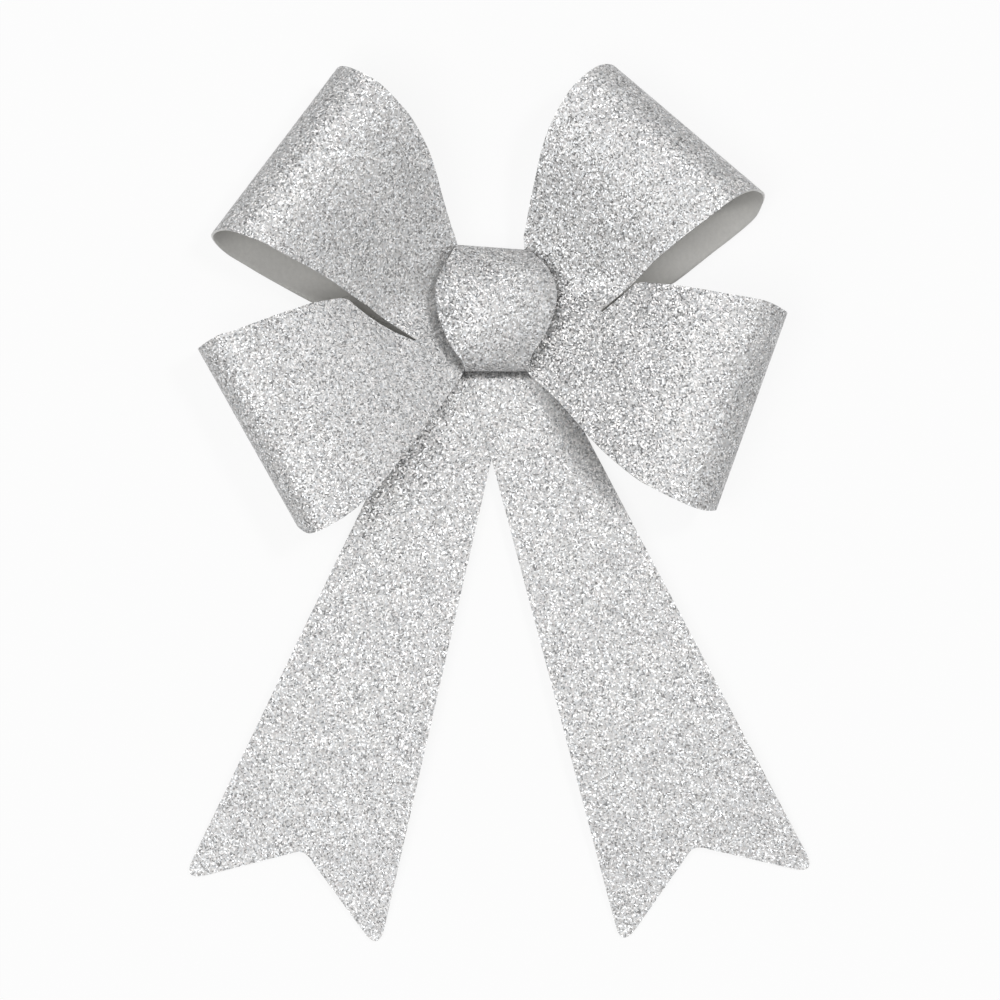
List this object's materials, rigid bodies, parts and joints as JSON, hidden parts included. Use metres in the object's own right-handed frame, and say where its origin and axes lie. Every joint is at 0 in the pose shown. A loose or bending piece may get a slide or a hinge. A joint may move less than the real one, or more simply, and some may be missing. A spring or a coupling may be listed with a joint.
{
  "type": "pre-made gift bow",
  "caption": "Flat-backed ready-made bow of die-cut glitter sheet: folded loops held by a domed knot band, swallow-tailed tails and a bendable twist tie behind.",
  "frame": {"origin": "on the surface that the bow lies on, behind the middle of the knot", "axes": "+Z out of the front of the bow, +Y from the knot to the upper loops, +X to the right seen from the front"},
  "size_m": [0.1501, 0.2158, 0.0217],
  "materials": {
    "glitter_sheet": "fine silver-white glitter bonded all over the front, plain matt grey backing behind",
    "steel_wire": "bright drawn wire",
    "hot_melt_glue": "cloudy, slightly yellow hot-melt glue",
    "tie_film": "plain white plastic film of a twist tie"
  },
  "bodies": {
    "bow": {"loops_sheet": "glitter_sheet", "knot_band": "glitter_sheet", "left_tail": "glitter_sheet", "right_tail": "glitter_sheet", "waist_staple": "steel_wire", "knot_seam_glue": "hot_melt_glue", "knot_to_tail_glue": "hot_melt_glue", "tail_to_tail_glue": "hot_melt_glue", "tie_bridge_film": "tie_film", "tie_bridge_wire": "steel_wire"},
    "tie_right_leg": {"tie_right_leg_film": "tie_film", "tie_right_leg_wire": "steel_wire"},
    "tie_left_leg": {"tie_left_leg_film": "tie_film", "tie_left_leg_wire": "steel_wire"}
  },
  "joints": [
    {"name": "right_leg_bend", "type": "hinge", "parent": "bow", "child": "tie_right_leg", "pos_m": [0.015, -0.006, 0.00375], "axis": [0, 1, 0], "range_deg": [0, 90]},
    {"name": "left_leg_bend", "type": "hinge", "parent": "bow", "child": "tie_left_leg", "pos_m": [-0.015, -0.006, 0.00375], "axis": [0, -1, 0], "range_deg": [0, 90]}
  ]
}
